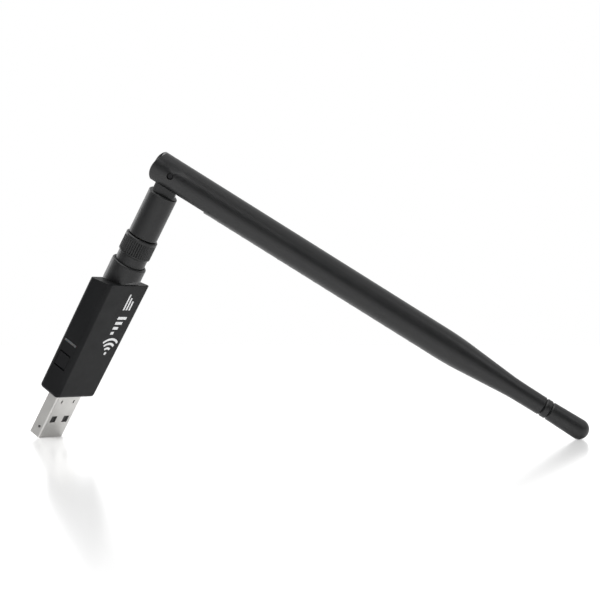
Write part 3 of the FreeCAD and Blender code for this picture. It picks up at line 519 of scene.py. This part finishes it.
def floor_material(look):
    """Smooth pale floor with a faint sheen, and a glow that makes up for the light's fading."""
    material, tree, shader = new_material("studio_floor")
    coordinates = tree.nodes.new("ShaderNodeTexCoord")
    clouds = spread(tree, noise(tree, coordinates.outputs["Object"], 3.0), 0.0, 1.0)
    colour = tuple(look.floor_colour)
    tone = blend_colours(tree, clouds, [c * 0.995 for c in colour], colour)
    tree.links.new(tone, shader.inputs["Base Color"])
    shader.inputs["Roughness"].default_value = look.floor_roughness
    shader.inputs["Specular IOR Level"].default_value = 0.5
    shader.inputs["Emission Color"].default_value = (1.0, 1.0, 1.0, 1.0)
    split = tree.nodes.new("ShaderNodeSeparateXYZ")
    tree.links.new(coordinates.outputs["Object"], split.inputs["Vector"])
    fading = tree.nodes.new("ShaderNodeMapRange")
    fading.interpolation_type = "SMOOTHSTEP"
    fading.inputs["From Min"].default_value = 0.3
    fading.inputs["From Max"].default_value = 1.6
    fading.inputs["To Min"].default_value = look.floor_glow
    fading.inputs["To Max"].default_value = look.floor_far_glow
    tree.links.new(split.outputs["Y"], fading.inputs["Value"])
    tree.links.new(fading.outputs["Result"], shader.inputs["Emission Strength"])
    return material


def area_light(name, place, target, size, power):
    data = bpy.data.lights.new(name, "AREA")
    data.shape = "RECTANGLE"
    data.size, data.size_y = size
    data.energy = power
    light = bpy.data.objects.new(name, data)
    light.location = place
    light.rotation_euler = (Vector(target) - Vector(place)).to_track_quat("-Z", "Y").to_euler()
    bpy.context.scene.collection.objects.link(light)


def studio_world():
    """A white backdrop; what shines on the object dims behind the camera."""
    world = bpy.data.worlds.new("studio")
    world.use_nodes = True
    tree = world.node_tree
    nodes, links = tree.nodes, tree.links
    background = nodes["Background"]
    coordinates = nodes.new("ShaderNodeTexCoord")
    split = nodes.new("ShaderNodeSeparateXYZ")
    links.new(coordinates.outputs["Generated"], split.inputs["Vector"])
    behind = nodes.new("ShaderNodeMapRange")
    behind.interpolation_type = "SMOOTHSTEP"
    behind.inputs["From Min"].default_value = -0.75
    behind.inputs["From Max"].default_value = 0.35
    behind.inputs["To Min"].default_value = 0.10
    behind.inputs["To Max"].default_value = 0.95
    links.new(split.outputs["Y"], behind.inputs["Value"])
    path = nodes.new("ShaderNodeLightPath")
    choose = nodes.new("ShaderNodeMix")
    choose.inputs["B"].default_value = 1.0
    links.new(path.outputs["Is Camera Ray"], choose.inputs["Factor"])
    links.new(behind.outputs["Result"], choose.inputs["A"])
    links.new(choose.outputs["Result"], background.inputs["Strength"])
    background.inputs["Color"].default_value = (1.0, 1.0, 1.0, 1.0)
    bpy.context.scene.world = world


class ADAPTER_OT_make_stage(bpy.types.Operator):
    """Makes the floor, the studio light and the camera"""
    bl_idname = "adapter.make_stage"
    bl_label = "Make the stage"

    def execute(self, context):
        look = context.scene.adapter_stage
        low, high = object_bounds()
        middle = (low + high) / 2.0
        far, near = FLOOR_REACH, look.floor_near
        corners = np.array([[-far, near], [far, near], [far, far], [-far, far]])
        corners += np.array(middle[:2])
        points = np.column_stack([corners, np.full(4, low.z)])
        mesh = bpy.data.meshes.new("studio_floor")
        mesh.from_pydata(points.tolist(), [], [[0, 1, 2, 3]])
        mesh.materials.append(floor_material(look))
        floor = bpy.data.objects.new("studio_floor", mesh)
        context.scene.collection.objects.link(floor)
        floor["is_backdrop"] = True
        studio_world()
        for name, place, size, power in SOFTBOXES:
            area_light(name, middle + Vector(place), middle, size, power)
        data = bpy.data.cameras.new("camera")
        data.lens = look.lens
        data.sensor_width = 36.0
        data.clip_start, data.clip_end = 0.01, 20.0
        camera = bpy.data.objects.new("camera", data)
        camera.location = CAMERA_PLACE
        camera.rotation_euler = (math.radians(90.0) + look.pitch, 0.0, 0.0)
        context.scene.collection.objects.link(camera)
        context.scene.camera = camera
        context.scene.view_settings.view_transform = "Standard"
        return {"FINISHED"}


class ADAPTER_PT_panel(bpy.types.Panel):
    """Shows the adapter's operator buttons and its settings"""
    bl_label = "Wireless adapter"
    bl_idname = "ADAPTER_PT_panel"
    bl_space_type = "VIEW_3D"
    bl_region_type = "UI"
    bl_category = "Adapter"

    def draw(self, context):
        layout = self.layout
        for operator in OPERATORS:
            layout.operator(operator.bl_idname)
        for group in ("adapter_finish", "adapter_mark", "adapter_stage"):
            settings = getattr(context.scene, group)
            box = layout.box()
            for name in settings.__annotations__:
                box.prop(settings, name)


OPERATORS = (
    ADAPTER_OT_finish_case,
    ADAPTER_OT_finish_plug,
    ADAPTER_OT_finish_board,
    ADAPTER_OT_finish_jack,
    ADAPTER_OT_finish_antenna,
    ADAPTER_OT_print_mark,
    ADAPTER_OT_make_stage,
)
GROUPS = (AdapterFinish, AdapterMark, AdapterStage)


def register():
    for item in GROUPS + OPERATORS + (ADAPTER_PT_panel,):
        bpy.utils.register_class(item)
    bpy.types.Scene.adapter_finish = PointerProperty(type=AdapterFinish)
    bpy.types.Scene.adapter_mark = PointerProperty(type=AdapterMark)
    bpy.types.Scene.adapter_stage = PointerProperty(type=AdapterStage)


def unregister():
    del bpy.types.Scene.adapter_finish
    del bpy.types.Scene.adapter_mark
    del bpy.types.Scene.adapter_stage
    for item in reversed(GROUPS + OPERATORS + (ADAPTER_PT_panel,)):
        bpy.utils.unregister_class(item)


def main():
    register()
    bpy.ops.adapter.finish_case()
    bpy.ops.adapter.finish_plug()
    bpy.ops.adapter.finish_board()
    bpy.ops.adapter.finish_jack()
    bpy.ops.adapter.finish_antenna()
    bpy.ops.adapter.print_mark()
    bpy.ops.adapter.make_stage()


if __name__ == "__main__":
    main()
